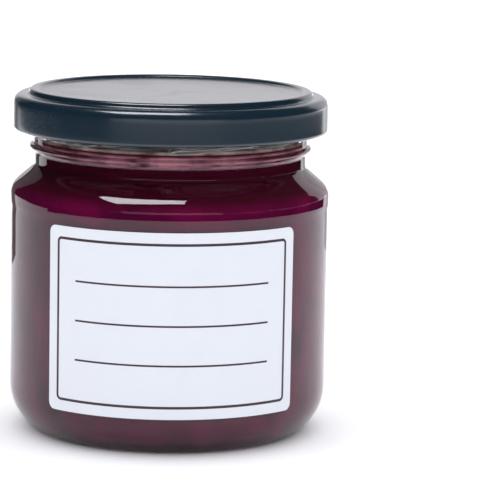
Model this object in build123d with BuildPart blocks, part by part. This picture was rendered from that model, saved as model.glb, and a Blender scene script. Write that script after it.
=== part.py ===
from build123d import *

import os
from math import cos, degrees, radians, sin, tan

# A twist-off preserve jar: glass jar, fruit filling, paper label, sheet-metal lug lid and its sealing ring.
# Millimetres, +Z up. The origin is the middle of the base, on the surface that the jar stands on, and Z is
# the jar's axis. The label faces -Y. The lid is screwed home.

# ---- driving dimensions --------------------------------------------------------------------------

# glass, outside
panel_radius = 43.25          # label panel, slightly under the contact band so that a label doesn't rub
body_radius = 43.45           # contact band under the shoulder
foot_inner = 33.7             # the jar stands on a narrow flat ring between these two radii
foot_outer = 34.5
foot_curl = 3.0               # rounding from the foot up into the push-up
foot_turn = 50.0              # degrees that rounding turns
push_up = 3.4                 # height of the middle of the base above the foot
heel_low_radius = 5.83        # rounding next to the foot
heel_high_radius = 14.4       # rounding that meets the label panel
heel_turn = 48.8              # degrees that the upper heel rounding turns
panel_top = 61.3
panel_step = 1.1              # height over which the panel widens to the contact band
shoulder_base = 64.7          # where the shoulder starts to turn in
shoulder_curve = 3.8
shoulder_turn = 49.0          # degrees from upright to the shoulder's flank
neck_radius = 36.95
neck_curve = 2.0

# glass, finish
bead_bottom = 76.2
bead_middle = 77.3
bead_top = 78.5
bead_radius = 38.35
finish_radius = 37.3
rim_height = 91.2
rim_round = 1.2

# glass, inside
mouth_radius = 33.6
bore_radius = 40.85
inner_neck_base = 73.9
inner_neck_curve = 5.0
inner_shoulder_curve = 6.0
inner_turn = 50.0
inner_heel = 7.0
floor_edge = 3.4
floor_middle = 6.4

# threads: four starts, parallel to the path of the lid's lugs
starts = 4
lead = 18.0                   # rise of the lid in one full turn
thread_low = 80.7             # height of a thread's centre at its low end
thread_span = 100.0           # degrees of arc in one thread
thread_first = -93.0          # direction of the first thread's low end, degrees from +X
thread_crest = 39.9           # radius over the threads
thread_root_half = 1.15       # half of a thread's height at its root
thread_crest_half = 0.55
thread_fade = 9.0             # degrees over which each end fades out
thread_sink = 0.7             # how far a thread's section reaches into the wall

# filling
fill_level = 79.5
fill_crown = 0.5              # the middle of the filling's surface stands this much higher
fill_gap = 0.03

# label
label_width = 72.0            # along the curve
label_bottom = 10.6
label_top = 60.0
label_thickness = 0.12
label_gap = 0.02
label_corner = 2.0
label_direction = -90.0       # degrees from +X to the label's middle

# lid shell, outside faces
sheet = 0.25
lid_radius = 42.75
lid_top = 93.05               # top of the raised ring
ring_inner = 36.45            # flat of the raised ring
ring_outer = 37.45
ring_fall_radius = 1.0
ring_fall_turn = 75.0
panel_step_radius = 1.3
panel_step_turn = 45.0
lid_dish = 0.25               # the panel's middle is this much lower than its edge
lid_corner = 2.4
curl_radius = 0.95
curl_turn = 235.0
lid_bottom = 82.0

# lugs, pressed inward out of the rolled edge
lug_tip_radius = 38.7
lug_root_radius = 41.9
lug_bottom = 82.2
lug_height = 1.0
lug_arc = 17.0                # degrees
lug_round = 0.35
lug_on_thread = 80.0          # degrees from a thread's low end to the middle of the lug that it holds

# sealing ring
seal_gap = 0.1
seal_inner = 34.3
seal_outer = 38.0
seal_shoulder = 91.92
seal_step = 35.1              # where the ring starts to rise into the lid's channel
seal_crown = 92.65
seal_crown_inner = 36.5
seal_crown_outer = 37.3
seal_round = 0.2


# ---- shared shapes -------------------------------------------------------------------------------

def radial_plane(angle, height=0.0):
    """Plane through the jar's axis: its X runs outward in the given direction, its Y is the jar's Z."""
    turn = radians(angle)
    return Plane(origin=(0, 0, height), x_dir=(cos(turn), sin(turn), 0), z_dir=(sin(turn), -cos(turn), 0))


def draw_bore(inset=0.0, top=None):
    """Draw the bore from the axis at the floor up to the given height, inset from the glass."""
    mouth = mouth_radius - inset
    bore = bore_radius - inset
    turn = radians(inner_turn)
    flank_run = bore - mouth - (inner_neck_curve + inner_shoulder_curve) * (1 - cos(turn))
    drop = (inner_neck_curve + inner_shoulder_curve) * sin(turn) + flank_run / tan(turn)
    floor_start = (bore - inner_heel, floor_edge + inset)
    floor_centre = (0, floor_middle + inset)
    floor_half = (floor_start[0] / 2, (floor_start[1] + floor_centre[1]) / 2)
    Line((mouth, top), (mouth, inner_neck_base))
    neck = JernArc(
        start=(mouth, inner_neck_base), tangent=(0, -1), radius=inner_neck_curve, arc_size=inner_turn
    )
    shoulder = JernArc(
        start=(bore, inner_neck_base - drop), tangent=(0, 1), radius=inner_shoulder_curve, arc_size=inner_turn
    )
    Line(neck @ 1, shoulder @ 1)
    Line(shoulder @ 0, (bore, floor_edge + inset + inner_heel))
    JernArc(
        start=(bore, floor_edge + inset + inner_heel), tangent=(0, -1), radius=inner_heel, arc_size=-90
    )
    TangentArc(floor_start, floor_half, tangent=(-1, 0))
    TangentArc(floor_centre, floor_half, tangent=(1, 0))


# ---- one thread, used four times -----------------------------------------------------------------

with BuildPart() as thread_ridge:
    for along in (0, thread_fade, thread_span / 2, thread_span - thread_fade, thread_span):
        full = 0.12 if along in (0, thread_span) else 1.0
        height = thread_low + lead * along / 360
        crest = finish_radius + (thread_crest - finish_radius) * full
        root_half = thread_root_half * (0.5 + 0.5 * full)
        crest_half = thread_crest_half * (0.5 + 0.5 * full)
        with BuildSketch(radial_plane(thread_first + along, height)):
            with BuildLine():
                Polyline(
                    (finish_radius - thread_sink, -root_half),
                    (finish_radius, -root_half),
                    (crest, -crest_half),
                    (crest, crest_half),
                    (finish_radius, root_half),
                    (finish_radius - thread_sink, root_half),
                    close=True,
                )
            make_face()
    loft()


# ---- one lug, used four times --------------------------------------------------------------------

with BuildPart() as lug:
    with BuildSketch(radial_plane(thread_first + lug_on_thread - lug_arc / 2)):
        with Locations(((lug_tip_radius + lug_root_radius) / 2, lug_bottom + lug_height / 2)):
            RectangleRounded(lug_root_radius - lug_tip_radius, lug_height, lug_round)
    revolve(axis=Axis.Z, revolution_arc=lug_arc)


# ---- glass jar -----------------------------------------------------------------------------------

with BuildPart() as glass_jar:
    with BuildSketch(Plane.XZ):
        with BuildLine():
            # base, from the push-up's middle to the foot
            foot = Line((foot_inner, 0), (foot_outer, 0))
            foot_inside = JernArc(start=foot @ 0, tangent=(-1, 0), radius=foot_curl, arc_size=-foot_turn)
            TangentArc((0, push_up), foot_inside @ 1, tangent=(1, 0))
            # heel and label panel
            heel_low = JernArc(
                start=foot @ 1, tangent=(1, 0), radius=heel_low_radius, arc_size=90 - heel_turn
            )
            heel_high = JernArc(
                start=heel_low @ 1, tangent=heel_low % 1, radius=heel_high_radius, arc_size=heel_turn
            )
            panel = Line(heel_high @ 1, ((heel_high @ 1).X, panel_top))
            step = Line(panel @ 1, (body_radius, panel_top + panel_step))
            band = Line(step @ 1, (body_radius, shoulder_base))
            # shoulder and neck
            shoulder = JernArc(start=band @ 1, tangent=(0, 1), radius=shoulder_curve, arc_size=shoulder_turn)
            neck_turn = radians(shoulder_turn)
            flank_run = (shoulder @ 1).X - neck_radius - neck_curve * (1 - cos(neck_turn))
            neck_base = (shoulder @ 1).Y + flank_run / tan(neck_turn) + neck_curve * sin(neck_turn)
            neck_root = JernArc(
                start=(neck_radius, neck_base), tangent=(0, -1), radius=neck_curve, arc_size=shoulder_turn
            )
            Line(shoulder @ 1, neck_root @ 1)
            Line((neck_radius, neck_base), (neck_radius, bead_bottom))
            # transfer bead, finish wall and rim
            ThreePointArc((neck_radius, bead_bottom), (bead_radius, bead_middle), (finish_radius, bead_top))
            wall = Line((finish_radius, bead_top), (finish_radius, rim_height - rim_round))
            rim_outside = JernArc(start=wall @ 1, tangent=(0, 1), radius=rim_round, arc_size=90)
            rim_inside = JernArc(
                start=(mouth_radius, rim_height - rim_round), tangent=(0, 1), radius=rim_round, arc_size=-90
            )
            Line(rim_outside @ 1, rim_inside @ 1)
            # inside
            draw_bore(top=rim_height - rim_round)
            Line((0, floor_middle), (0, push_up))
        make_face()
    revolve(axis=Axis.Z)
    with PolarLocations(radius=0, count=starts):
        add(thread_ridge.part)

glass_jar.part.label = "glass_jar"


# ---- fruit filling -------------------------------------------------------------------------------

with BuildPart() as fruit_fill:
    with BuildSketch(Plane.XZ):
        with BuildLine():
            draw_bore(inset=fill_gap, top=fill_level)
            TangentArc((0, fill_level + fill_crown), (mouth_radius - fill_gap, fill_level), tangent=(1, 0))
            Line((0, fill_level + fill_crown), (0, floor_middle + fill_gap))
        make_face()
    revolve(axis=Axis.Z)

fruit_fill.part.label = "fruit_fill"


# ---- paper label ---------------------------------------------------------------------------------

label_inside = panel_radius + label_gap
label_arc = degrees(label_width / (label_inside + label_thickness))

with BuildPart() as label:
    with BuildSketch(radial_plane(label_direction - label_arc / 2)):
        with Locations((label_inside, label_bottom)):
            Rectangle(label_thickness, label_top - label_bottom, align=(Align.MIN, Align.MIN))
    revolve(axis=Axis.Z, revolution_arc=label_arc)
    corners = label.edges().filter_by(lambda edge: abs(edge.length - label_thickness) < label_thickness / 10)
    fillet(corners, radius=label_corner)

label.part.label = "label"


# ---- lid shell -----------------------------------------------------------------------------------

ring_turn = radians(ring_fall_turn)
ledge_height = lid_top - 2 * ring_fall_radius * (1 - cos(ring_turn))
step_turn = radians(panel_step_turn)
lid_panel_radius = ring_inner - 2 * panel_step_radius * sin(step_turn)
lid_panel_height = lid_top - 2 * panel_step_radius * (1 - cos(step_turn))

with BuildPart() as lid_shell:
    with BuildSketch(Plane.XZ):
        with BuildLine():
            # outside of the sheet, from the panel's middle to the end of the rolled edge
            dish = TangentArc(
                (0, lid_panel_height - lid_dish), (lid_panel_radius, lid_panel_height), tangent=(1, 0)
            )
            rise_low = JernArc(
                start=dish @ 1, tangent=(1, 0), radius=panel_step_radius, arc_size=panel_step_turn
            )
            rise_high = JernArc(
                start=rise_low @ 1, tangent=rise_low % 1, radius=panel_step_radius, arc_size=-panel_step_turn
            )
            ring_flat = Line(rise_high @ 1, (ring_outer, lid_top))
            fall_high = JernArc(
                start=ring_flat @ 1, tangent=(1, 0), radius=ring_fall_radius, arc_size=-ring_fall_turn
            )
            fall_low = JernArc(
                start=fall_high @ 1, tangent=fall_high % 1, radius=ring_fall_radius, arc_size=ring_fall_turn
            )
            ledge = Line(fall_low @ 1, (lid_radius - lid_corner, ledge_height))
            corner = JernArc(start=ledge @ 1, tangent=(1, 0), radius=lid_corner, arc_size=-90)
            skirt = Line(corner @ 1, (lid_radius, lid_bottom + curl_radius))
            JernArc(start=skirt @ 1, tangent=(0, -1), radius=curl_radius, arc_size=-curl_turn)
            offset(amount=sheet, side=Side.RIGHT)
        make_face()
    revolve(axis=Axis.Z)
    with PolarLocations(radius=0, count=starts):
        add(lug.part)

lid_shell.part.label = "lid_shell"


# ---- sealing ring --------------------------------------------------------------------------------

with BuildPart() as sealing_ring:
    with BuildSketch(Plane.XZ) as seal_section:
        with BuildLine():
            Polyline(
                (seal_inner, rim_height + seal_gap),
                (seal_outer, rim_height + seal_gap),
                (seal_outer, seal_shoulder),
                (seal_crown_outer, seal_crown),
                (seal_crown_inner, seal_crown),
                (seal_step, seal_shoulder),
                (seal_inner, seal_shoulder),
                close=True,
            )
        make_face()
        fillet(seal_section.vertices(), radius=seal_round)
    revolve(axis=Axis.Z)

sealing_ring.part.label = "sealing_ring"


# ---- one file for each piece ---------------------------------------------------------------------

os.makedirs("parts", exist_ok=True)
for piece in (glass_jar, fruit_fill, label, lid_shell, sealing_ring):
    export_step(piece.part, f"parts/{piece.part.label}.step")
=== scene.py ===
from math import atan2, ceil, cos, hypot, pi, radians, sin, tan

import bmesh
import bpy
from bpy.props import FloatProperty, FloatVectorProperty, IntProperty, PointerProperty
from mathutils import Euler, Matrix, Vector, noise


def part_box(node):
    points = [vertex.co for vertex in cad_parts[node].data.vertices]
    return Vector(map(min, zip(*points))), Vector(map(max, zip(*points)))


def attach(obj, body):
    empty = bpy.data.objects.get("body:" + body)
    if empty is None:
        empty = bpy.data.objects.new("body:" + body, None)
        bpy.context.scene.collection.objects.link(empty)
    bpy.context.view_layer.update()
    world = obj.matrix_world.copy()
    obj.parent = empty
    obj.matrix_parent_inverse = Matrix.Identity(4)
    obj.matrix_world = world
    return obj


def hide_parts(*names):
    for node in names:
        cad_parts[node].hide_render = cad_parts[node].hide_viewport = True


bl_info = {
    "name": "Preserve Jar",
    "version": (1, 0, 0),
    "blender": (4, 5, 0),
    "location": "3D View > Sidebar > Preserve Jar",
    "description": "Twist-off preserve jar with its lug lid, sealing ring, paper label and fruit filling",
    "category": "Add Mesh",
}

MM = 0.001

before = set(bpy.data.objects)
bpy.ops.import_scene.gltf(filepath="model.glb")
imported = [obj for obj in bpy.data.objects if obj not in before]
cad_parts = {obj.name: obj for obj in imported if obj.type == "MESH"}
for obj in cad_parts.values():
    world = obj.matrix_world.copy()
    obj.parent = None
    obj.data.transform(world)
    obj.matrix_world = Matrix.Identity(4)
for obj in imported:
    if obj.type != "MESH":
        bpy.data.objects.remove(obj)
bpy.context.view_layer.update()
glass_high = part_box("glass_jar")[1]
fill_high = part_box("fruit_fill")[1]
label_low, label_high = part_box("label")
lid_low, lid_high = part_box("lid_shell")
seal_low, seal_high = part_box("sealing_ring")


# ---- sizes and colours ---------------------------------------------------------------------------

def length(name, description, default):
    """A size in metres that a maker may change."""
    return FloatProperty(name=name, description=description, default=default, unit="LENGTH", precision=5)


def angle(name, description, default):
    """An angle that a maker may change, given here in degrees."""
    return FloatProperty(name=name, description=description, default=radians(default), unit="ROTATION")


def colour(name, description, default):
    """A linear colour that a maker may change."""
    return FloatVectorProperty(
        name=name, description=description, default=default, subtype="COLOR", size=3, min=0, max=1
    )


class GlassSizes(bpy.types.PropertyGroup):
    """Sizes of the glass jar."""

    panel_radius: length("Label panel radius", "Outside radius where the label sits", 43.25 * MM)
    body_radius: length("Body radius", "Outside radius of the band under the shoulder", 43.45 * MM)
    foot_inner: length("Foot inside", "Inside radius of the flat ring the jar stands on", 33.7 * MM)
    foot_outer: length("Foot outside", "Outside radius of the flat ring the jar stands on", 34.5 * MM)
    foot_curl: length("Foot curl", "Rounding from the foot up into the base", 3.0 * MM)
    foot_turn: angle("Foot turn", "How far the foot's inner rounding turns", 50)
    push_up: length("Push-up", "Height of the base's middle", 3.4 * MM)
    heel_low: length("Lower heel curve", "Rounding next to the foot", 5.83 * MM)
    heel_high: length("Upper heel curve", "Rounding that meets the label panel", 14.4 * MM)
    heel_turn: angle("Heel turn", "How far the upper heel rounding turns", 48.8)
    panel_top: length("Panel top", "Height where the label panel ends", 61.3 * MM)
    panel_step: length("Panel step", "Height over which the panel widens to the body", 1.1 * MM)
    shoulder_base: length("Shoulder base", "Height where the shoulder starts to turn in", 64.7 * MM)
    shoulder_curve: length("Shoulder curve", "Rounding at the shoulder's foot", 4.0 * MM)
    shoulder_turn: angle("Shoulder turn", "How far that rounding turns", 40)
    flank_curve: length("Flank curve", "Gentle rounding of the shoulder's flank", 12 * MM)
    flank_turn: angle("Flank turn", "Slope of the flank at its steepest, from upright", 50)
    hollow_curve: length("Hollow curve", "Gentle hollow above the flank", 10 * MM)
    hollow_turn: angle("Hollow turn", "Slope where that hollow meets the neck's rounding", 42)
    neck_radius: length("Neck radius", "Outside radius of the neck", 36.95 * MM)
    neck_curve: length("Neck curve", "Rounding where the hollow meets the neck", 1.6 * MM)
    bead_bottom: length("Bead bottom", "Height where the transfer bead starts", 76.2 * MM)
    bead_top: length("Bead top", "Height where the transfer bead ends", 78.5 * MM)
    bead_radius: length("Bead radius", "Outside radius of the transfer bead", 38.35 * MM)
    finish_radius: length("Finish radius", "Outside radius of the wall between the threads", 37.3 * MM)
    rim_round: length("Rim rounding", "Rounding of the rim's two edges", 1.2 * MM)
    mouth_radius: length("Mouth radius", "Inside radius at the mouth", 33.6 * MM)
    bore_radius: length("Bore radius", "Inside radius of the body", 40.85 * MM)
    inner_neck_base: length("Inner neck base", "Height where the bore starts to widen", 73.9 * MM)
    inner_neck_curve: length("Inner neck curve", "Inside rounding under the neck", 5.0 * MM)
    inner_shoulder_curve: length("Inner shoulder curve", "Inside rounding of the shoulder", 6.0 * MM)
    inner_turn: angle("Inner turn", "Slope of the inner shoulder, from upright", 50)
    inner_heel: length("Inner heel", "Inside rounding at the floor", 7.0 * MM)
    floor_edge: length("Floor edge", "Height of the floor at its edge", 3.4 * MM)
    floor_middle: length("Floor middle", "Height of the floor's middle", 6.4 * MM)


class ThreadSizes(bpy.types.PropertyGroup):
    """Sizes of the glass threads."""

    starts: IntProperty(name="Starts", description="Number of threads and of lugs", default=4, min=1)
    lead: length("Lead", "Rise of the lid in one full turn", 18 * MM)
    low: length("Low end", "Height of a thread's centre at its low end", 80.7 * MM)
    span: angle("Span", "Arc that one thread runs round", 100)
    first: angle("First", "Direction of the first thread's low end", -93)
    crest: length("Crest", "Radius over the threads", 39.85 * MM)
    root_half: length("Root half", "Half of a thread's height at its root", 1.25 * MM)
    crest_half: length("Crest half", "Half of a thread's height at its crest", 0.3 * MM)
    fade: angle("Fade", "Arc over which each end fades out", 12)


class LidSizes(bpy.types.PropertyGroup):
    """Sizes of the lid shell and its sealing ring."""

    sheet: length("Sheet", "Thickness of the sheet", 0.25 * MM)
    radius: length("Radius", "Outside radius of the skirt", 42.75 * MM)
    ring_inner: length("Ring inside", "Where the raised ring's flat starts", 36.45 * MM)
    ring_outer: length("Ring outside", "Where the raised ring's flat ends", 37.45 * MM)
    ring_fall: length("Ring fall", "Roundings outside the raised ring", 1.0 * MM)
    ring_fall_turn: angle("Ring fall turn", "How steep the raised ring's outside is", 75)
    panel_step: length("Panel step", "Roundings inside the raised ring", 1.3 * MM)
    panel_step_turn: angle("Panel step turn", "How steep the raised ring's inside is", 45)
    dish: length("Dish", "How much lower the panel's middle is than its edge", 0.25 * MM)
    corner: length("Corner", "Rounding from the top down to the skirt", 2.4 * MM)
    curl: length("Curl", "Radius of the rolled edge", 0.95 * MM)
    curl_turn: angle("Curl turn", "How far the edge is rolled in", 235)
    lug_tip: length("Lug tip", "Radius that the lugs reach in to", 38.7 * MM)
    lug_height: length("Lug height", "Height of a pressed lug", 1.0 * MM)
    lug_arc: angle("Lug arc", "Arc of one lug", 17)
    lug_fade: angle("Lug fade", "Arc over which a lug runs out into the curl", 3)
    lug_on_thread: angle("Lug place", "Arc from a thread's low end to its lug", 80)
    seal_inner: length("Seal inside", "Inside radius of the sealing ring", 34.3 * MM)
    seal_outer: length("Seal outside", "Outside radius of the sealing ring", 38.0 * MM)


class LabelSizes(bpy.types.PropertyGroup):
    """Sizes of the label and its print."""

    width: length("Width", "Width of the label along its curve", 72 * MM)
    corner: length("Corner", "Radius of the label's corners", 2.0 * MM)
    gap: length("Gap", "Gap between glass and paper", 0.02 * MM)
    thickness: length("Thickness", "Thickness of the paper", 0.12 * MM)
    frame_inset: length("Frame inset", "Gap from the label's edge to the printed frame", 2.8 * MM)
    frame_line: length("Frame line", "Width of the frame's line", 0.7 * MM)
    frame_corner: length("Frame corner", "Radius of the frame's corners", 1.4 * MM)
    rule_line: length("Rule line", "Width of a ruled line to write on", 0.5 * MM)
    rule_inset: length("Rule inset", "Gap from the label's side to the ruled lines", 9 * MM)
    rule_low: length("Rule low", "Height of the lowest ruled line over the label's edge", 14 * MM)
    rule_pitch: length("Rule pitch", "Height from one ruled line to the next", 10.5 * MM)
    rules: IntProperty(name="Rules", description="Number of ruled lines", default=3)
    ink: length("Ink", "Thickness of the ink", 0.02 * MM)


class FillSizes(bpy.types.PropertyGroup):
    """Sizes of the fruit filling."""

    contact: length("Contact", "How far the filling wets into the glass face", 0.04 * MM)
    meniscus: length("Meniscus", "Rise of the filling where it meets the glass", 0.5 * MM)
    lump: length("Lump", "Height of the lumps on top", 0.45 * MM)
    lump_size: length("Lump size", "Width of the lumps on top", 9 * MM)


class Colours(bpy.types.PropertyGroup):
    """Colours of the jar, all linear."""

    daylight: colour("Daylight", "Light of the softboxes", (0.975, 0.955, 1.0))
    fruit_deep: colour("Fruit deep", "Darkest filling", (0.066, 0.0018, 0.026))
    fruit_bright: colour("Fruit bright", "Brightest filling", (0.165, 0.0036, 0.048))
    # Painted shade: the filling's colour under the shoulder and in the neck, where the lid and shoulder shade
    # it.
    fruit_painted_shade: colour("Fruit shade", "Filling under the shoulder and in the neck", (0.060, 0.0030, 0.014))
    # Painted light: a pink glow on the filling in the neck behind the bead, where light comes down through
    # the glass.
    fruit_painted_glow: colour("Fruit foam", "Pale foam in the neck behind the bead", (0.85, 0.34, 0.44))
    # Painted light: a pale cream band at the filling's rim, standing in for light seen through the clear
    # glass there.
    fruit_painted_sheen: colour("Fruit froth", "Cream froth at the filling's rim", (0.80, 0.58, 0.52))
    fruit_top: colour("Fruit top", "Filling's open surface", (0.018, 0.0015, 0.004))
    enamel: colour("Enamel", "Outside of the lid", (0.0035, 0.0150, 0.0260))
    lacquer: colour("Lacquer", "Inside of the lid", (0.72, 0.69, 0.60))
    seal: colour("Seal", "Sealing ring", (0.70, 0.68, 0.62))
    paper: colour("Paper", "Label paper", (0.67, 0.69, 0.73))
    ink: colour("Ink", "Print on the label", (0.036, 0.018, 0.024))
    glass: colour("Glass", "Glass body", (0.97, 0.985, 0.98))
    floor: colour("Floor", "Floor under the jar", (0.92, 0.92, 0.92))


class StageSizes(bpy.types.PropertyGroup):
    """Camera and stage."""

    camera_distance: length("Camera distance", "From the jar's middle to the camera", 0.80)
    camera_height: angle("Camera height", "How far the camera looks down on the jar", 9.5)
    camera_side: angle("Camera side", "How far the camera stands round to the jar's left", 1.5)
    camera_pan: angle("Camera pan", "How far the camera turns to the right of the jar", 1.59)
    camera_tilt: angle("Camera tilt", "How far the camera turns down from the jar's middle", -0.2)
    camera_roll: angle("Camera roll", "How far the camera leans over", 0.82)
    camera_lens: FloatProperty(name="Lens", description="Focal length in millimetres", default=210.0, min=1)
    skirt_radius: length("Skirt radius", "Dark cloth standing round the jar on the floor", 0.436)
    skirt_height: length("Skirt height", "Height of that cloth", 0.05)
    skirt_start: angle("Skirt start", "Where the cloth starts, round Z from the front", -95)
    skirt_end: angle("Skirt end", "Where the cloth ends, round Z from the front", 140)
    floor_size: length("Floor size", "Side of the floor", 8.0)


class JarSettings(bpy.types.PropertyGroup):
    """Everything about the jar that a maker may change."""

    glass: PointerProperty(type=GlassSizes)
    thread: PointerProperty(type=ThreadSizes)
    lid: PointerProperty(type=LidSizes)
    label: PointerProperty(type=LabelSizes)
    fill: PointerProperty(type=FillSizes)
    colours: PointerProperty(type=Colours)
    stage: PointerProperty(type=StageSizes)
    segments: IntProperty(name="Segments", description="Steps round a turned piece", default=288, min=24)


# ---- turned pieces -------------------------------------------------------------------------------

class Outline:
    """A half-section of a turned piece: points (radius, height) laid by straight runs and tangent arcs."""

    step = radians(7)

    def __init__(self, radius, height, heading=0.0):
        self.points = [(radius, height)]
        self.heading = heading

    def head(self, heading):
        """Face another way without moving."""
        self.heading = heading
        return self

    def run(self, radius, height, pieces=1):
        """Go straight to a point."""
        r0, z0 = self.points[-1]
        self.heading = atan2(height - z0, radius - r0)
        for k in range(1, pieces + 1):
            self.points.append((r0 + (radius - r0) * k / pieces, z0 + (height - z0) * k / pieces))
        return self

    def reach(self, radius, pieces=1):
        """Go straight on until this radius is reached."""
        r0, z0 = self.points[-1]
        return self.run(radius, z0 + (radius - r0) * tan(self.heading), pieces)

    def turn(self, curve, turn):
        """Go round an arc of this radius. A positive turn goes left."""
        r0, z0 = self.points[-1]
        side = 1 if turn > 0 else -1
        pieces = max(2, ceil(abs(turn) / self.step))
        start = self.heading - side * pi / 2
        middle = (r0 - curve * cos(start), z0 - curve * sin(start))
        for k in range(1, pieces + 1):
            a = start + turn * k / pieces
            self.points.append((middle[0] + curve * cos(a), middle[1] + curve * sin(a)))
        self.heading += turn
        return self

    def sweep_to(self, radius, height, pieces=12):
        """Go round the one arc that leaves along the heading and ends at a point."""
        r0, z0 = self.points[-1]
        chord = hypot(radius - r0, height - z0)
        half = atan2(height - z0, radius - r0) - self.heading
        half = (half + pi) % (2 * pi) - pi
        curve = chord / (2 * sin(abs(half)))
        kept, self.step = self.step, abs(2 * half) / pieces
        self.turn(curve, 2 * half)
        self.step = kept
        return self

    def swell(self, radius, height, crest, pieces=14):
        """Go to a point over a round bead whose crest has this radius."""
        r0, z0 = self.points[-1]
        for k in range(1, pieces + 1):
            t = k / pieces
            base = r0 + (radius - r0) * t
            self.points.append((base + (crest - (r0 + radius) / 2) * sin(pi * t), z0 + (height - z0) * t))
        self.heading = pi / 2
        return self

    def thickened(self, sheet):
        """This line, and back again along its right side one sheet thickness away."""
        back = []
        for i, (r, z) in enumerate(self.points):
            r0, z0 = self.points[max(0, i - 1)]
            r1, z1 = self.points[min(len(self.points) - 1, i + 1)]
            size = hypot(r1 - r0, z1 - z0)
            back.append((r + sheet * (z1 - z0) / size, z - sheet * (r1 - r0) / size))
        back[0] = (0.0, back[0][1])
        return self.points + back[::-1]


def smooth(t):
    """A smooth step from 0 to 1 as t goes from 0 to 1."""
    t = min(1.0, max(0.0, t))
    return t * t * (3 - 2 * t)


def spin(name, points, segments, warp=None, ring=False):
    """Turn a half-section round Z.

    warp(angle, radius, height, index) may move a point, and ring closes the section.
    """
    made = bmesh.new()
    columns = []
    for j in range(segments):
        a = 2 * pi * j / segments
        column = []
        for i, (r, z) in enumerate(points):
            if warp:
                r, z = warp(a, r, z, i)
            if abs(points[i][0]) < 1e-9:
                column.append(columns[0][i] if columns else made.verts.new((0, 0, z)))
            else:
                column.append(made.verts.new((r * cos(a), r * sin(a), z)))
        columns.append(column)
    count = len(points)
    for j in range(segments):
        here, there = columns[j], columns[(j + 1) % segments]
        for i in range(count if ring else count - 1):
            n = (i + 1) % count
            corners = [here[i], there[i], there[n], here[n]]
            unique = [v for k, v in enumerate(corners) if v not in corners[:k]]
            made.faces.new(unique)
    bmesh.ops.recalc_face_normals(made, faces=made.faces)
    return mesh_object(name, made)


def mesh_object(name, made):
    """Put a bmesh into the scene as a smooth-shaded object."""
    mesh = bpy.data.meshes.new(name)
    for face in made.faces:
        face.smooth = True
    made.to_mesh(mesh)
    made.free()
    piece = bpy.data.objects.new(name, mesh)
    bpy.context.scene.collection.objects.link(piece)
    return piece


# ---- flat shapes, cut out and bent round the jar -------------------------------------------------

def rounded(corners, pieces=6):
    """Points of a closed shape. Each corner is (x, y) or (x, y, radius)."""
    out = []
    count = len(corners)
    for i, corner in enumerate(corners):
        here = Vector(corner[:2])
        curve = corner[2] if len(corner) > 2 else 0.0
        if curve <= 0:
            out.append(here)
            continue
        before = (Vector(corners[i - 1][:2]) - here).normalized()
        after = (Vector(corners[(i + 1) % count][:2]) - here).normalized()
        half = before.angle(after) / 2
        middle = here + (before + after).normalized() * curve / sin(half)
        start = here + before * curve / tan(half) - middle
        end = here + after * curve / tan(half) - middle
        turn = start.angle_signed(end)
        for k in range(pieces + 1):
            out.append(middle + Matrix.Rotation(-turn * k / pieces, 2) @ start)
    return out


def panel(half, low, high, corner=0.0):
    """Points of a rectangle that is centred across, between two heights."""
    corners = [(-half, low), (half, low), (half, high), (-half, high)]
    return rounded([(x, y, corner) for x, y in corners], 8)


def cut_out(name, shapes, radius, thickness, direction, height, slice_width=0.7 * MM):
    """A thin closed sheet cut to these closed shapes, bent round the jar's axis at a radius and direction."""
    curve = bpy.data.curves.new(name, "CURVE")
    curve.dimensions = "2D"
    curve.fill_mode = "BOTH"
    curve.extrude = thickness / 2
    for shape in shapes:
        spline = curve.splines.new("POLY")
        spline.points.add(len(shape) - 1)
        for point, place in zip(spline.points, shape):
            point.co = (place[0], place[1], 0, 1)
        spline.use_cyclic_u = True
    flat = bpy.data.objects.new(name, curve)
    bpy.context.scene.collection.objects.link(flat)
    bpy.context.view_layer.update()
    mesh = bpy.data.meshes.new_from_object(flat.evaluated_get(bpy.context.evaluated_depsgraph_get()))
    bpy.data.objects.remove(flat)
    bpy.data.curves.remove(curve)
    made = bmesh.new()
    made.from_mesh(mesh)
    bpy.data.meshes.remove(mesh)
    bmesh.ops.remove_doubles(made, verts=made.verts, dist=thickness / 20)
    left = min(v.co.x for v in made.verts)
    right = max(v.co.x for v in made.verts)
    slices = ceil((right - left) / slice_width)
    for k in range(1, slices):
        bmesh.ops.bisect_plane(
            made,
            geom=made.verts[:] + made.edges[:] + made.faces[:],
            plane_co=(left + (right - left) * k / slices, 0, 0),
            plane_no=(1, 0, 0),
        )
    for v in made.verts:
        a = direction + v.co.x / radius
        r = radius + v.co.z
        v.co = ((r * cos(a)), (r * sin(a)), height + v.co.y)
    bmesh.ops.recalc_face_normals(made, faces=made.faces)
    piece = mesh_object(name, made)
    piece.data.set_sharp_from_angle(angle=radians(30))
    return piece


# ---- shader groups -------------------------------------------------------------------------------

class Nodes:
    """A small hand for laying shader nodes in a tree."""

    def __init__(self, tree):
        self.tree = tree

    def add(self, kind, inputs=None, **settings):
        """Add a node, set its settings, and set or link its inputs."""
        node = self.tree.nodes.new(kind)
        for key, value in settings.items():
            setattr(node, key, value)
        for key, value in (inputs or {}).items():
            if isinstance(value, bpy.types.NodeSocket):
                self.tree.links.new(value, node.inputs[key])
            else:
                node.inputs[key].default_value = value
        return node

    def math(self, operation, a, b=0.0):
        """One maths node; returns its result."""
        return self.add("ShaderNodeMath", {0: a, 1: b}, operation=operation).outputs[0]

    def span(self, value, low, high, to_low, to_high):
        """Map a value from one span to another, clamped."""
        inputs = {"Value": value, "From Min": low, "From Max": high, "To Min": to_low, "To Max": to_high}
        return self.add("ShaderNodeMapRange", inputs, clamp=True).outputs["Result"]


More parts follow.
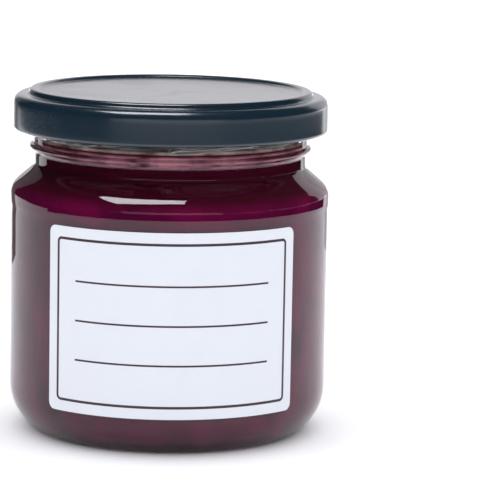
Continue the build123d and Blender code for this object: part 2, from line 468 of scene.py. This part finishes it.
def new_group(name, inputs, outputs):
    """An empty shader group with these sockets; returns its hand, its inputs and its output node."""
    tree = bpy.data.node_groups.new(name, "ShaderNodeTree")
    for socket, kind, default in inputs:
        made = tree.interface.new_socket(name=socket, in_out="INPUT", socket_type=kind)
        made.default_value = default
    for socket, kind in outputs:
        tree.interface.new_socket(name=socket, in_out="OUTPUT", socket_type=kind)
    hand = Nodes(tree)
    return hand, hand.add("NodeGroupInput").outputs, hand.add("NodeGroupOutput")


def grain_group():
    """Fine grain: a value between two bounds, and a height."""
    if "Fine Grain" in bpy.data.node_groups:
        return bpy.data.node_groups["Fine Grain"]
    hand, given, out = new_group(
        "Fine Grain",
        [
            ("Scale", "NodeSocketFloat", 900.0),
            ("Low", "NodeSocketFloat", 0.3),
            ("High", "NodeSocketFloat", 0.4),
        ],
        [("Value", "NodeSocketFloat"), ("Height", "NodeSocketFloat")],
    )
    place = hand.add("ShaderNodeTexCoord").outputs["Object"]
    grain = hand.add(
        "ShaderNodeTexNoise", {"Vector": place, "Scale": given["Scale"], "Detail": 3.0, "Roughness": 0.6}
    ).outputs["Fac"]
    value = hand.add(
        "ShaderNodeMapRange",
        {"Value": grain, "From Min": 0.3, "From Max": 0.7, "To Min": given["Low"], "To Max": given["High"]},
        clamp=True,
    ).outputs["Result"]
    hand.tree.links.new(value, out.inputs["Value"])
    hand.tree.links.new(grain, out.inputs["Height"])
    return hand.tree


def smudge_group():
    """Faint cloudy smudges from handling, as a mask."""
    if "Handling Smudges" in bpy.data.node_groups:
        return bpy.data.node_groups["Handling Smudges"]
    hand, given, out = new_group(
        "Handling Smudges",
        [("Scale", "NodeSocketFloat", 40.0), ("Amount", "NodeSocketFloat", 0.1)],
        [("Mask", "NodeSocketFloat")],
    )
    place = hand.add("ShaderNodeTexCoord").outputs["Object"]
    cloud = hand.add(
        "ShaderNodeTexNoise",
        {"Vector": place, "Scale": given["Scale"], "Detail": 4.0, "Roughness": 0.55, "Distortion": 0.6},
    ).outputs["Fac"]
    patch = hand.span(cloud, 0.48, 0.72, 0.0, 1.0)
    hand.tree.links.new(hand.math("MULTIPLY", patch, given["Amount"]), out.inputs["Mask"])
    return hand.tree


def streak_group():
    """Upright streaks round the jar's axis, which wander a little with height."""
    if "Upright Streaks" in bpy.data.node_groups:
        return bpy.data.node_groups["Upright Streaks"]
    hand, given, out = new_group(
        "Upright Streaks",
        [("Round", "NodeSocketFloat", 6.0), ("Along", "NodeSocketFloat", 8.0)],
        [("Value", "NodeSocketFloat")],
    )
    place = hand.add("ShaderNodeTexCoord").outputs["Object"]
    split = hand.add("ShaderNodeSeparateXYZ", {"Vector": place}).outputs
    size = hand.add("ShaderNodeVectorMath", {0: place}, operation="LENGTH").outputs["Value"]
    flat = hand.math("MAXIMUM", size, 0.001)
    across = hand.math("DIVIDE", split["X"], flat)
    deep = hand.math("DIVIDE", split["Y"], flat)
    joined = hand.add(
        "ShaderNodeCombineXYZ",
        {
            "X": hand.math("MULTIPLY", across, given["Round"]),
            "Y": hand.math("MULTIPLY", deep, given["Round"]),
            "Z": hand.math("MULTIPLY", split["Z"], given["Along"]),
        },
    ).outputs["Vector"]
    streak = hand.add(
        "ShaderNodeTexNoise", {"Vector": joined, "Scale": 1.0, "Detail": 4.0, "Roughness": 0.55}
    ).outputs["Fac"]
    hand.tree.links.new(streak, out.inputs["Value"])
    return hand.tree


def group_node(hand, tree, **inputs):
    """Place a shader group in a material with its own values."""
    node = hand.add("ShaderNodeGroup", node_tree=tree)
    for key, value in inputs.items():
        node.inputs[key].default_value = value
    return node


# ---- materials -----------------------------------------------------------------------------------

def new_material(name):
    """A material with one Principled shader; returns it, its hand and the shader."""
    material = bpy.data.materials.new(name)
    material.use_nodes = True
    hand = Nodes(material.node_tree)
    return material, hand, material.node_tree.nodes["Principled BSDF"]


def set_plain(shader, **values):
    """Set sockets of a shader that are the same all over."""
    for key, value in values.items():
        shader.inputs[key.replace("_", " ")].default_value = value


def bump(hand, shader, height, strength, distance):
    """Let a height stand out of the surface."""
    node = hand.add("ShaderNodeBump", {"Height": height, "Strength": strength, "Distance": distance})
    hand.tree.links.new(node.outputs["Normal"], shader.inputs["Normal"])
    return node


def mixed(hand, factor, low, high):
    """A colour between two colours. Each may be a plain colour or another node's colour."""
    node = hand.add("ShaderNodeMix", data_type="RGBA")
    hand.tree.links.new(factor, node.inputs[0])
    for socket, value in ((node.inputs[6], low), (node.inputs[7], high)):
        if isinstance(value, bpy.types.NodeSocket):
            hand.tree.links.new(value, socket)
        else:
            socket.default_value = (*value, 1)
    return node.outputs[2]


def glass_material(colours):
    """Clear moulded flint glass."""
    material, hand, shader = new_material("flint_glass")
    set_plain(shader, Base_Color=(*colours.glass, 1), IOR=1.51, Transmission_Weight=1.0, Metallic=0.0)
    smudges = group_node(hand, smudge_group(), Scale=28.0, Amount=0.012)
    hand.tree.links.new(smudges.outputs["Mask"], shader.inputs["Roughness"])
    streaks = group_node(hand, streak_group(), Round=3.0, Along=30.0)
    bump(hand, shader, streaks.outputs["Value"], 0.10, 0.0004)
    absorb = hand.add("ShaderNodeVolumeAbsorption", {"Color": (0.80, 0.93, 0.90, 1), "Density": 8.0})
    hand.tree.links.new(absorb.outputs["Volume"], hand.tree.nodes["Material Output"].inputs["Volume"])
    return material


def fruit_wall_material(colours, shoulder, bead_low, bead_high):
    """Filling seen through the glass it wets, so it has no gloss of its own. It carries painted shade above
    the shoulder, a painted glow behind the bead and a painted pale band at its rim.
    """
    material, hand, shader = new_material("fruit_behind_glass")
    streaks = group_node(hand, streak_group(), Round=5.0, Along=45.0)
    factor = hand.span(streaks.outputs["Value"], 0.32, 0.68, 0.0, 1.0)
    body = mixed(hand, factor, colours.fruit_deep, colours.fruit_bright)
    place = hand.add("ShaderNodeTexCoord").outputs["Object"]
    height = hand.add("ShaderNodeSeparateXYZ", {"Vector": place}).outputs["Z"]
    # Painted shade: above the shoulder's base the filling turns to the darker painted-shade colour.
    painted_shade_above = hand.span(height, shoulder, shoulder + 2.0 * MM, 0.0, 1.0)
    shaded = mixed(hand, painted_shade_above, body, colours.fruit_painted_shade)
    # Painted light: a streaky pink glow band on the filling between the bead's bottom and top.
    rise = hand.span(height, bead_low - 0.6 * MM, bead_low + 0.5 * MM, 0.0, 1.0)
    fall = hand.span(height, bead_high - 0.4 * MM, bead_high + 0.4 * MM, 1.0, 0.0)
    glow = group_node(hand, streak_group(), Round=9.0, Along=160.0)
    patchy = hand.span(glow.outputs["Value"], 0.38, 0.62, 0.15, 1.0)
    band = hand.math("MULTIPLY", hand.math("MULTIPLY", rise, fall), patchy)
    with_painted_glow = mixed(hand, band, shaded, colours.fruit_painted_glow)
    # Painted light: a pale streaky band just under the filling's rim.
    rim = hand.span(height, bead_high + 0.5 * MM, bead_high + 0.9 * MM, 0.0, 1.0)
    sheen = hand.math("MULTIPLY", rim, patchy)
    hand.tree.links.new(mixed(hand, sheen, with_painted_glow, colours.fruit_painted_sheen), shader.inputs["Base Color"])
    grain = group_node(hand, grain_group(), Scale=260.0, Low=0.5, High=0.75)
    hand.tree.links.new(grain.outputs["Value"], shader.inputs["Roughness"])
    set_plain(shader, Specular_IOR_Level=0.0)
    return material


def fruit_top_material(colours):
    """The filling's open surface, wet and glossy."""
    material, hand, shader = new_material("fruit_open_surface")
    grain = group_node(hand, grain_group(), Scale=350.0, Low=0.06, High=0.2)
    hand.tree.links.new(grain.outputs["Value"], shader.inputs["Roughness"])
    smudges = group_node(hand, smudge_group(), Scale=90.0, Amount=1.0)
    colour_mix = mixed(hand, smudges.outputs["Mask"], colours.fruit_top, colours.fruit_deep)
    hand.tree.links.new(colour_mix, shader.inputs["Base Color"])
    bump(hand, shader, grain.outputs["Height"], 0.35, 0.0006)
    set_plain(shader, Coat_Weight=0.5, Coat_Roughness=0.05)
    return material


def enamel_material(colours):
    """Satin enamel on the outside of the lid."""
    material, hand, shader = new_material("satin_enamel")
    grain = group_node(hand, grain_group(), Scale=1400.0, Low=0.20, High=0.25)
    smudges = group_node(hand, smudge_group(), Scale=45.0, Amount=0.06)
    rough = hand.math("ADD", grain.outputs["Value"], smudges.outputs["Mask"])
    hand.tree.links.new(rough, shader.inputs["Roughness"])
    light = [min(1.0, c * 1.5 + 0.002) for c in colours.enamel]
    colour_mix = mixed(hand, smudges.outputs["Mask"], colours.enamel, light)
    hand.tree.links.new(colour_mix, shader.inputs["Base Color"])
    bump(hand, shader, grain.outputs["Height"], 0.03, 0.0001)
    set_plain(shader, Specular_IOR_Level=0.5, Coat_Weight=0.5, Coat_Roughness=0.14)
    return material


def lacquer_material(colours):
    """Cream lacquer on the inside of the lid."""
    material, hand, shader = new_material("inside_lacquer")
    grain = group_node(hand, grain_group(), Scale=900.0, Low=0.28, High=0.4)
    hand.tree.links.new(grain.outputs["Value"], shader.inputs["Roughness"])
    smudges = group_node(hand, smudge_group(), Scale=60.0, Amount=0.5)
    darker = [c * 0.9 for c in colours.lacquer]
    tint = mixed(hand, smudges.outputs["Mask"], colours.lacquer, darker)
    hand.tree.links.new(tint, shader.inputs["Base Color"])
    bump(hand, shader, grain.outputs["Height"], 0.1, 0.0001)
    return material


def seal_material(colours):
    """Matt cast compound of the sealing ring."""
    material, hand, shader = new_material("seal_compound")
    grain = group_node(hand, grain_group(), Scale=700.0, Low=0.6, High=0.78)
    hand.tree.links.new(grain.outputs["Value"], shader.inputs["Roughness"])
    smudges = group_node(hand, smudge_group(), Scale=80.0, Amount=0.6)
    darker = [c * 0.86 for c in colours.seal]
    tint = mixed(hand, smudges.outputs["Mask"], colours.seal, darker)
    hand.tree.links.new(tint, shader.inputs["Base Color"])
    bump(hand, shader, grain.outputs["Height"], 0.2, 0.0002)
    return material


def paper_material(colours):
    """Smooth coated paper with a faint fibre."""
    material, hand, shader = new_material("coated_paper")
    grain = group_node(hand, grain_group(), Scale=2600.0, Low=0.42, High=0.56)
    hand.tree.links.new(grain.outputs["Value"], shader.inputs["Roughness"])
    smudges = group_node(hand, smudge_group(), Scale=70.0, Amount=0.5)
    darker = [c * 0.96 for c in colours.paper]
    tint = mixed(hand, smudges.outputs["Mask"], colours.paper, darker)
    hand.tree.links.new(tint, shader.inputs["Base Color"])
    bump(hand, shader, grain.outputs["Height"], 0.12, 0.00005)
    return material


def ink_material(colours):
    """Printed ink, a little uneven where it has soaked in."""
    material, hand, shader = new_material("label_ink")
    grain = group_node(hand, grain_group(), Scale=1800.0, Low=0.38, High=0.5)
    hand.tree.links.new(grain.outputs["Value"], shader.inputs["Roughness"])
    smudges = group_node(hand, smudge_group(), Scale=150.0, Amount=1.0)
    lighter = [c * 1.35 for c in colours.ink]
    tint = mixed(hand, smudges.outputs["Mask"], colours.ink, lighter)
    hand.tree.links.new(tint, shader.inputs["Base Color"])
    return material


def floor_material(colours):
    """Plain pale floor."""
    material, _, shader = new_material("pale_floor")
    set_plain(shader, Base_Color=(*colours.floor, 1), Roughness=0.7, Specular_IOR_Level=0.2)
    return material


def flag_material(shade):
    """Dull cloth of a studio flag."""
    material, _, shader = new_material("flag_cloth")
    set_plain(shader, Base_Color=(shade, shade, shade, 1), Roughness=1.0, Specular_IOR_Level=0.0)
    return material


# ---- camera and stage ----------------------------------------------------------------------------

class JAR_OT_camera(bpy.types.Operator):
    """Stand the camera in front of the jar"""

    bl_idname = "jar.camera"
    bl_label = "Camera"

    def execute(self, context):
        sizes = context.scene.preserve_jar.stage
        middle = Vector((0, 0, lid_high.z / 2 - 0.5 * MM))
        side, up = -sizes.camera_side, sizes.camera_height
        back = Vector((sin(side) * cos(up), -cos(side) * cos(up), sin(up)))
        data = bpy.data.cameras.new("camera")
        data.lens = sizes.camera_lens
        data.sensor_width = 36
        data.clip_start = 0.01
        data.clip_end = 50
        camera = bpy.data.objects.new("camera", data)
        context.scene.collection.objects.link(camera)
        camera.location = middle + back * sizes.camera_distance
        camera.rotation_mode = "QUATERNION"
        level = (-back).to_track_quat("-Z", "Y").to_matrix()
        turned = Euler((-sizes.camera_tilt, -sizes.camera_pan, 0)).to_matrix()
        lean = Matrix.Rotation(sizes.camera_roll, 3, "Z")
        camera.rotation_quaternion = (level @ turned @ lean).to_quaternion()
        context.scene.camera = camera
        return {"FINISHED"}


ROOM_IN_GLOSS = 0.03
ROOM_ON_SURFACES = 0.95
ROOM_THROUGH_GLASS = 2.0    # times as bright for light that has passed through glass
BACKDROP = 1.05
FLAG_CLOTH = 0.01
SKIRT_STEPS = 96

# name, place, aimed at, width, height, brightness, lights surfaces, shows in gloss and through glass
SOFTBOXES = [
    ("overhead", (-0.16, -0.10, 0.83), (-0.16, -0.10, 0.0), 0.50, 0.34, 11.0, False, True),
    ("backdrop", (0.40, 1.00, 0.36), (0.40, 0.0, 0.36), 1.45, 0.74, 0.90, True, True),
    ("front", (0.0, -1.25, 0.14), (0.0, 0.0, 0.14), 1.80, 0.26, 0.75, True, True),
    ("wash", (0.0, 0.60, 1.60), (0.0, 0.60, 0.0), 4.50, 4.50, 0.85, True, False),
]

# name, middle, width, height, direction that it faces round Z in degrees, brightness of its cloth
FLAGS = [
    ("left_flag", (-0.46, 0.26, 0.45), 1.48, 0.90, 90, 0.01),
    ("left_edge_flag", (-0.121, 0.169, 0.157), 0.05, 0.286, 0, 0.15),
    ("right_edge_flag", (0.125, 0.200, 0.157), 0.045, 0.286, 0, 0.60),
]


class JAR_OT_stage(bpy.types.Operator):
    """Lay the floor and hang the softboxes"""

    bl_idname = "jar.stage"
    bl_label = "Stage"

    def hang(self, flag, shade):
        """Give a flag its cloth, so that it shows in gloss and through glass only."""
        flag.data.materials.append(flag_material(shade))
        flag.visible_camera = False
        flag.visible_diffuse = False
        flag.visible_shadow = False

    def execute(self, context):
        settings = context.scene.preserve_jar
        sizes = settings.stage
        context.scene.view_settings.view_transform = "Standard"
        made = bmesh.new()
        bmesh.ops.create_grid(made, x_segments=8, y_segments=8, size=sizes.floor_size / 2)
        floor = mesh_object("floor", made)
        floor.data.materials.append(floor_material(settings.colours))
        for name, middle, width, height, facing, shade in FLAGS:
            made = bmesh.new()
            bmesh.ops.create_grid(made, x_segments=4, y_segments=4, size=0.5)
            bmesh.ops.scale(made, vec=(width, height, 1), verts=made.verts)
            flag = mesh_object(name, made)
            flag.location = middle
            flag.rotation_euler = (pi / 2, 0, radians(facing))
            self.hang(flag, shade)
        made = bmesh.new()
        for k in range(SKIRT_STEPS + 1):
            turn = sizes.skirt_start + (sizes.skirt_end - sizes.skirt_start) * k / SKIRT_STEPS
            for z in (0.0, sizes.skirt_height):
                made.verts.new((sizes.skirt_radius * sin(turn), -sizes.skirt_radius * cos(turn), z))
        made.verts.ensure_lookup_table()
        for k in range(0, 2 * SKIRT_STEPS, 2):
            made.faces.new([made.verts[k + i] for i in (0, 2, 3, 1)])
        self.hang(mesh_object("floor_skirt", made), FLAG_CLOTH)
        for name, place, aim, width, height, brightness, lights, shows in SOFTBOXES:
            light = bpy.data.lights.new("softbox_" + name, "AREA")
            light.shape = "RECTANGLE"
            light.size = width
            light.size_y = height
            light.energy = brightness * pi * width * height
            light.color = settings.colours.daylight
            softbox = bpy.data.objects.new("softbox_" + name, light)
            context.scene.collection.objects.link(softbox)
            softbox.location = place
            softbox.rotation_mode = "QUATERNION"
            softbox.rotation_quaternion = (Vector(aim) - Vector(place)).to_track_quat("-Z", "Y")
            softbox.visible_camera = False
            softbox.visible_diffuse = lights
            softbox.visible_glossy = shows
            softbox.visible_transmission = shows
        world = bpy.data.worlds.new("studio")
        world.use_nodes = True
        hand = Nodes(world.node_tree)
        room = world.node_tree.nodes["Background"]
        room.inputs["Color"].default_value = (0.94, 0.96, 1.0, 1)
        path = hand.add("ShaderNodeLightPath").outputs
        surfaces = hand.span(path["Diffuse Depth"], 0.0, 1.0, ROOM_IN_GLOSS, ROOM_ON_SURFACES)
        through = hand.span(path["Is Transmission Ray"], 0.0, 1.0, 1.0, ROOM_THROUGH_GLASS)
        soft = hand.math("MULTIPLY", surfaces, through)
        hand.tree.links.new(soft, room.inputs["Strength"])
        backdrop = hand.add("ShaderNodeBackground", {"Color": (1, 1, 1, 1), "Strength": BACKDROP})
        seen = path["Is Camera Ray"]
        either = hand.add("ShaderNodeMixShader", {0: seen, 1: room.outputs[0], 2: backdrop.outputs[0]})
        hand.tree.links.new(either.outputs[0], world.node_tree.nodes["World Output"].inputs["Surface"])
        context.scene.world = world
        return {"FINISHED"}


# ---- glass jar -----------------------------------------------------------------------------------

def bore_line(line, sizes, grow=0.0):
    """Carry an outline down the bore from its present point to the axis at the floor."""
    bore = sizes.bore_radius + grow
    line.run(sizes.mouth_radius + grow, sizes.inner_neck_base, 14)
    line.turn(sizes.inner_neck_curve, sizes.inner_turn)
    line.reach(bore - sizes.inner_shoulder_curve * (1 - cos(sizes.inner_turn)), 3)
    line.turn(sizes.inner_shoulder_curve, -sizes.inner_turn)
    line.run(bore, sizes.floor_edge + sizes.inner_heel - grow, 26)
    line.turn(sizes.inner_heel, -pi / 2)
    edge_r, edge_z = line.points[-1]
    line.sweep_to(edge_r / 2, (edge_z + sizes.floor_middle - grow) / 2, 10)
    line.sweep_to(0.0, sizes.floor_middle - grow, 10)
    return line


WAVES_ROUND = 1.5
WAVE_LENGTH = 18 * MM
WAVE_SHARE = 0.0022         # of the bore's radius


def bore_wave(a, r, z):
    """Soft unevenness of the moulded bore, which the filling follows."""
    wave = noise.noise(Vector((cos(a) * WAVES_ROUND, sin(a) * WAVES_ROUND, z / WAVE_LENGTH)))
    return r * (1 + WAVE_SHARE * wave), z


def thread_height(a, z, thread, wall):
    """How far the thread stands out of the finish wall at an angle and a height."""
    out = 0.0
    for k in range(thread.starts):
        along = (a - thread.first - 2 * pi * k / thread.starts) % (2 * pi)
        if along > thread.span:
            continue
        middle = thread.low + thread.lead * along / (2 * pi)
        full = smooth(along / thread.fade) * smooth((thread.span - along) / thread.fade)
        off = abs(z - middle) - thread.crest_half
        rise = 1 - smooth(off / (thread.root_half - thread.crest_half))
        out = max(out, (thread.crest - wall) * rise * full)
    return out


class JAR_OT_glass(bpy.types.Operator):
    """Blow the glass jar"""

    bl_idname = "jar.glass"
    bl_label = "Glass Jar"

    def execute(self, context):
        settings = context.scene.preserve_jar
        sizes, thread = settings.glass, settings.thread
        rim = glass_high.z
        foot_in = (
            sizes.foot_inner - sizes.foot_curl * sin(sizes.foot_turn),
            sizes.foot_curl * (1 - cos(sizes.foot_turn)),
        )
        line = Outline(0.0, sizes.push_up)
        line.sweep_to(*foot_in, 16).head(-sizes.foot_turn)
        line.turn(sizes.foot_curl, sizes.foot_turn)
        line.run(sizes.foot_outer, 0.0, 3)
        line.turn(sizes.heel_low, pi / 2 - sizes.heel_turn)
        line.turn(sizes.heel_high, sizes.heel_turn)
        line.run(sizes.panel_radius, sizes.panel_top, 24)
        line.run(sizes.body_radius, sizes.panel_top + sizes.panel_step, 3)
        line.run(sizes.body_radius, sizes.shoulder_base, 3).head(pi / 2)
        line.turn(sizes.shoulder_curve, sizes.shoulder_turn)
        line.turn(sizes.flank_curve, sizes.flank_turn - sizes.shoulder_turn)
        rounding = sizes.neck_curve * (1 - cos(sizes.hollow_turn))
        hollow = sizes.hollow_curve * (cos(sizes.hollow_turn) - cos(sizes.flank_turn))
        line.reach(sizes.neck_radius + rounding + hollow, 4)
        line.turn(sizes.hollow_curve, sizes.hollow_turn - sizes.flank_turn)
        line.turn(sizes.neck_curve, -sizes.hollow_turn)
        line.run(sizes.neck_radius, sizes.bead_bottom, 4)
        line.swell(sizes.finish_radius, sizes.bead_top, sizes.bead_radius)
        first_thread = len(line.points)
        line.run(sizes.finish_radius, rim - sizes.rim_round, 60)
        last_thread = len(line.points) - 2
        line.turn(sizes.rim_round, pi / 2)
        line.reach(sizes.mouth_radius + sizes.rim_round, 4)
        line.turn(sizes.rim_round, pi / 2)
        inside = len(line.points)
        bore_line(line, sizes)
        knurls = 72

        def warp(a, r, z, i):
            if first_thread <= i <= last_thread:
                return r + thread_height(a, z, thread, sizes.finish_radius), z
            if i >= inside:
                return bore_wave(a, r, z)
            if z < 0.35 * MM and r > sizes.foot_inner - 3 * MM:
                near = smooth(1 - z / (0.35 * MM))
                return r, z + 0.12 * MM * near * max(0.0, cos(a * knurls))
            return r, z

        piece = spin("glass_jar_clear", line.points, settings.segments, warp)
        piece.data.materials.append(glass_material(settings.colours))
        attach(piece, "jar")
        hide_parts("glass_jar")
        return {"FINISHED"}


# ---- fruit filling -------------------------------------------------------------------------------

class JAR_OT_fruit(bpy.types.Operator):
    """Fill the jar with set fruit"""

    bl_idname = "jar.fruit"
    bl_label = "Fruit Filling"

    def execute(self, context):
        settings = context.scene.preserve_jar
        glass, sizes = settings.glass, settings.fill
        level = fill_high.z - 0.5 * MM
        edge = glass.mouth_radius + sizes.contact
        line = Outline(0.0, level)
        line.run(edge - 3.5 * MM, level, 26)
        for k in range(1, 9):
            t = k / 8
            line.points.append((edge - 3.5 * MM * (1 - t), level + sizes.meniscus * t ** 3))
        open_surface = len(line.points)
        line.head(-pi / 2)
        bore_line(line, glass, sizes.contact)

        def warp(a, r, z, i):
            if i >= open_surface:
                return bore_wave(a, r, z)
            calm = smooth((edge - r) / (6 * MM))
            place = Vector((r * cos(a), r * sin(a), 0)) / sizes.lump_size
            bulk = noise.fractal(place, 1.0, 2.1, 4)
            ridge = noise.ridged_multi_fractal(place * 1.7 + Vector((7, 3, 0)), 1.0, 2.0, 3, 1.0, 2.0)
            return bore_wave(a, r, z + sizes.lump * calm * (0.8 * bulk + 0.35 * (ridge - 1.0)))

        piece = spin("fruit_filling", line.points, settings.segments, warp)
        wall = fruit_wall_material(settings.colours, glass.shoulder_base, glass.bead_bottom, glass.bead_top)
        piece.data.materials.append(wall)
        piece.data.materials.append(fruit_top_material(settings.colours))
        for face in piece.data.polygons:
            face.material_index = 1 if face.center.z > level - 2 * MM and face.normal.z > 0.35 else 0
        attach(piece, "jar")
        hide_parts("fruit_fill")
        return {"FINISHED"}


# ---- label and its print -------------------------------------------------------------------------

class JAR_OT_label(bpy.types.Operator):
    """Stick on the label with its frame and ruled lines"""

    bl_idname = "jar.label"
    bl_label = "Label"

    def execute(self, context):
        settings = context.scene.preserve_jar
        sizes = settings.label
        inside = settings.glass.panel_radius + sizes.gap
        middle = inside + sizes.thickness / 2
        height = label_high.z - label_low.z
        front = radians(-90)
        half = sizes.width / 2
        paper = panel(half, 0, height, sizes.corner)
        label = cut_out("paper_label", [paper], middle, sizes.thickness, front, label_low.z)
        label.data.materials.append(paper_material(settings.colours))
        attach(label, "jar")
        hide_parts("label")
        surface = inside + sizes.thickness + sizes.ink * 0.3
        ink = ink_material(settings.colours)
        inset = sizes.frame_inset
        outer = panel(half - inset, inset, height - inset, sizes.frame_corner)
        inset += sizes.frame_line
        inner = panel(half - inset, inset, height - inset, sizes.frame_corner - sizes.frame_line)
        rules = []
        for k in range(sizes.rules):
            low = sizes.rule_low + sizes.rule_pitch * k
            rules.append(panel(half - sizes.rule_inset, low, low + sizes.rule_line))
        for name, shapes in (("printed_frame", [outer, inner]), ("ruled_lines", rules)):
            line = cut_out(name, shapes, surface, sizes.ink, front, label_low.z)
            line.data.materials.append(ink)
            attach(line, "jar")
        return {"FINISHED"}


# ---- lid and sealing ring ------------------------------------------------------------------------

class JAR_OT_lid(bpy.types.Operator):
    """Draw the lid from sheet, roll its edge and press its lugs"""

    bl_idname = "jar.lid"
    bl_label = "Lid"

    def execute(self, context):
        settings = context.scene.preserve_jar
        sizes, thread = settings.lid, settings.thread
        top, bottom = lid_high.z, lid_low.z
        panel = top - 2 * sizes.panel_step * (1 - cos(sizes.panel_step_turn))
        panel_radius = sizes.ring_inner - 2 * sizes.panel_step * sin(sizes.panel_step_turn)
        line = Outline(0.0, panel - sizes.dish)
        line.sweep_to(panel_radius, panel, 24).head(0.0)
        line.turn(sizes.panel_step, sizes.panel_step_turn)
        line.turn(sizes.panel_step, -sizes.panel_step_turn)
        line.run(sizes.ring_outer, top, 2).head(0.0)
        line.turn(sizes.ring_fall, -sizes.ring_fall_turn)
        line.turn(sizes.ring_fall, sizes.ring_fall_turn)
        line.run(sizes.radius - sizes.corner, line.points[-1][1]).head(0.0)
        line.turn(sizes.corner, -pi / 2)
        line.run(sizes.radius, bottom + sizes.curl, 5).head(-pi / 2)
        rolled = len(line.points)
        line.turn(sizes.curl, -sizes.curl_turn)
        points = line.thickened(sizes.sheet)
        outside = len(line.points)
        unrolled = 2 * outside - rolled
        hub_r, hub_z = sizes.radius - sizes.curl, bottom + sizes.curl
        lug_first = thread.first + sizes.lug_on_thread
        squeeze = sizes.lug_height / (2 * sizes.curl)
        reach = (hub_r - sizes.lug_tip) / sizes.curl

        def warp(a, r, z, i):
            if not rolled <= i < unrolled or r > hub_r:
                return r, z
            step = 2 * pi / thread.starts
            off = abs((a - lug_first + step / 2) % step - step / 2)
            pressed = smooth((sizes.lug_arc / 2 - off) / sizes.lug_fade)
            far = hub_r - (hub_r - r) * reach
            flat = hub_z + (z - hub_z) * squeeze - 0.25 * MM
            return r + (far - r) * pressed, z + (flat - z) * pressed

        piece = spin("lug_lid", points, settings.segments, warp)
        piece.data.materials.append(enamel_material(settings.colours))
        piece.data.materials.append(lacquer_material(settings.colours))
        rows = len(points) - 1
        for k, face in enumerate(piece.data.polygons):
            face.material_index = 0 if k % rows < outside else 1
        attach(piece, "lid")
        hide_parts("lid_shell")
        return {"FINISHED"}


class JAR_OT_seal(bpy.types.Operator):
    """Cast the sealing ring"""

    bl_idname = "jar.seal"
    bl_label = "Sealing Ring"

    def execute(self, context):
        settings = context.scene.preserve_jar
        sizes = settings.lid
        low, high = seal_low.z, seal_high.z
        ledge = low + 0.62 * MM
        soft = 0.2 * MM
        section = rounded([
            (sizes.seal_inner, low, soft),
            (sizes.seal_inner + 1.2 * MM, low, soft),
            (sizes.seal_inner + 1.5 * MM, low + 0.12 * MM, soft),
            (sizes.seal_outer - 1.0 * MM, low + 0.12 * MM, soft),
            (sizes.seal_outer - 0.7 * MM, low, soft),
            (sizes.seal_outer, low, soft),
            (sizes.seal_outer, ledge, soft),
            (sizes.seal_outer - 0.7 * MM, high, soft),
            (sizes.seal_outer - 1.5 * MM, high, soft),
            (sizes.seal_inner + 0.8 * MM, ledge, soft),
            (sizes.seal_inner, ledge, soft),
        ], 4)
        piece = spin("seal_compound_ring", [tuple(p) for p in section], settings.segments, ring=True)
        piece.data.materials.append(seal_material(settings.colours))
        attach(piece, "seal")
        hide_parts("sealing_ring")
        return {"FINISHED"}


class JAR_PT_panel(bpy.types.Panel):
    """The jar's pieces, in the order they are made"""

    bl_idname = "JAR_PT_panel"
    bl_label = "Preserve Jar"
    bl_space_type = "VIEW_3D"
    bl_region_type = "UI"
    bl_category = "Preserve Jar"

    def draw(self, context):
        for operator in OPERATORS:
            self.layout.operator(operator.bl_idname)


GROUPS = (GlassSizes, ThreadSizes, LidSizes, LabelSizes, FillSizes, Colours, StageSizes, JarSettings)
OPERATORS = (JAR_OT_camera, JAR_OT_stage, JAR_OT_glass, JAR_OT_fruit, JAR_OT_label, JAR_OT_lid, JAR_OT_seal)


def register():
    """Add the jar's settings, operators and panel."""
    for made in (*GROUPS, *OPERATORS, JAR_PT_panel):
        bpy.utils.register_class(made)
    bpy.types.Scene.preserve_jar = PointerProperty(type=JarSettings)


def unregister():
    """Take them away again."""
    del bpy.types.Scene.preserve_jar
    for made in reversed((*GROUPS, *OPERATORS, JAR_PT_panel)):
        bpy.utils.unregister_class(made)


def main():
    """Build every piece in order."""
    register()
    bpy.ops.jar.camera()
    bpy.ops.jar.stage()
    bpy.ops.jar.glass()
    bpy.ops.jar.fruit()
    bpy.ops.jar.label()
    bpy.ops.jar.lid()
    bpy.ops.jar.seal()


if __name__ == "__main__":
    main()
